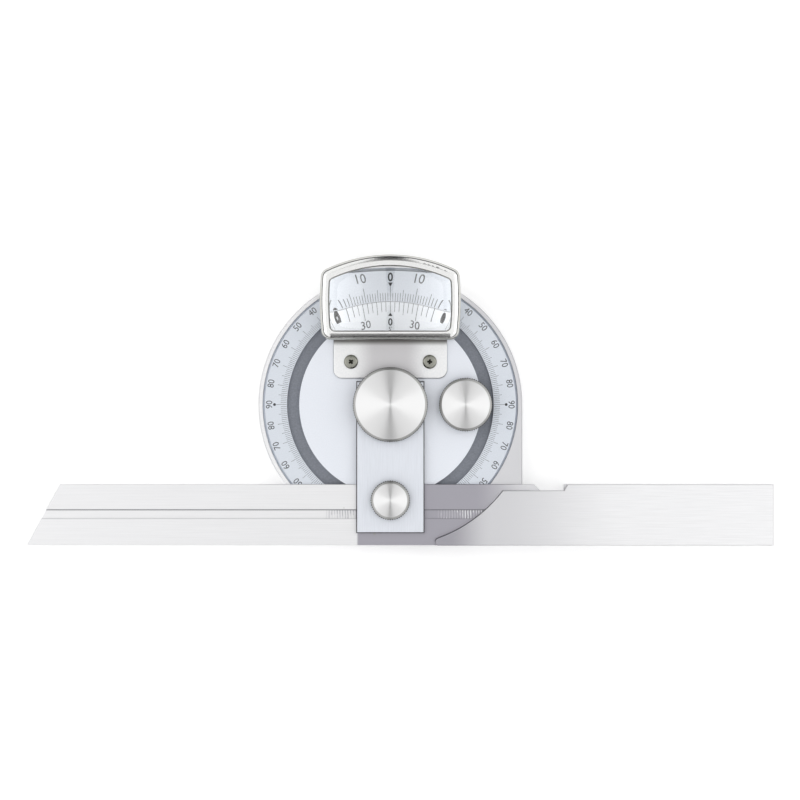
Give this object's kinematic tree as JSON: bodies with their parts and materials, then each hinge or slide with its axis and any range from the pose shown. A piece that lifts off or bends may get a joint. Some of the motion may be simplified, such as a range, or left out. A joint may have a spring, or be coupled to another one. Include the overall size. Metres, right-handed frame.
{
  "type": "bevel protractor",
  "caption": "Bevel protractor with a round vernier dial, a magnifier, a stock, a sliding bevelled blade, a lock knob and a geared fine adjustment.",
  "frame": {"origin": "pivot axis of the dial on the flat back face", "axes": "+Z out of the dial, towards the reader; +X along the stock, away from the dial, which is the longest extent; +Y from the stock to the magnifier, with the blade closed at 0 degrees"},
  "size_m": [0.2627, 0.1022, 0.0246],
  "materials": {
    "ground_steel": "ground along its length, satin",
    "blade_steel": "finely ground, satin, with a milled groove",
    "satin_chrome": "satin chrome with black graduations",
    "grey_steel": "matte grey steel",
    "turned_steel": "turned top faces and straight knurled rims",
    "polished_chrome": "polished chrome",
    "dark_steel": "black finish",
    "lens_glass": "clear polished lens",
    "bearing_brass": "machined brass",
    "screw_steel": "bright zinc screw steel"
  },
  "bodies": {
    "base": {"base_body": "ground_steel", "dial_ring": "satin_chrome", "dial_screws": "screw_steel", "ring_gear": "grey_steel", "ring_gear_screws": "screw_steel", "pivot_stud": "grey_steel", "thrust_washer": "bearing_brass"},
    "turret": {"turret_disc": "satin_chrome", "vernier_plate": "satin_chrome", "vernier_rivets": "screw_steel", "clamp_arm": "ground_steel", "arm_screws": "screw_steel", "arm_dowels": "screw_steel", "pinion_bush": "bearing_brass", "clamp_washer": "turned_steel", "magnifier_bracket": "ground_steel", "bracket_screws": "screw_steel", "magnifier_frame": "polished_chrome", "frame_screws": "screw_steel", "magnifier_lens": "lens_glass", "lens_retainer": "dark_steel"},
    "blade": {"blade": "blade_steel"},
    "hook": {"hook_bolt": "grey_steel"},
    "clamp_knob": {"clamp_knob": "turned_steel"},
    "lock_washer": {"lock_washer": "turned_steel"},
    "lock_knob": {"lock_knob": "turned_steel"},
    "fine_knob": {"pinion_shaft": "grey_steel", "fine_knob": "turned_steel", "fine_knob_screw": "screw_steel"}
  },
  "joints": [
    {"name": "turret_turn", "type": "hinge", "parent": "base", "child": "turret", "pos_m": [0, 0, 0], "axis": [0, 0, 1], "range_deg": [-195, 105]},
    {"name": "blade_slide", "type": "slide", "parent": "turret", "child": "blade", "axis": [1, 0, 0], "range_m": [-0.06, 0.005]},
    {"name": "fine_knob_turn", "type": "hinge", "parent": "turret", "child": "fine_knob", "pos_m": [0.0265, 0, 0], "axis": [0, 0, 1], "range_deg": [-905, 1675]},
    {"name": "clamp_knob_turn", "type": "hinge", "parent": "turret", "child": "clamp_knob", "pos_m": [0, -0.0336, 0], "axis": [0, 0, 1], "range_deg": [0, 150]},
    {"name": "hook_draw", "type": "slide", "parent": "turret", "child": "hook", "axis": [0, 0, 1], "range_m": [-0.00029167, 0]},
    {"name": "lock_washer_lift", "type": "slide", "parent": "base", "child": "lock_washer", "axis": [0, 0, 1], "range_m": [0, 0.00033333]},
    {"name": "lock_knob_turn", "type": "hinge", "parent": "lock_washer", "child": "lock_knob", "pos_m": [0, 0, 0], "axis": [0, 0, 1], "range_deg": [0, 120]}
  ],
  "couplings": [
    {"joint": "fine_knob_turn", "follows": "turret_turn", "ratio": -8.5714},
    {"joint": "clamp_knob_turn", "follows": "hook_draw", "rad_per_m": -8976},
    {"joint": "lock_knob_turn", "follows": "lock_washer_lift", "rad_per_m": 6283.2}
  ]
}
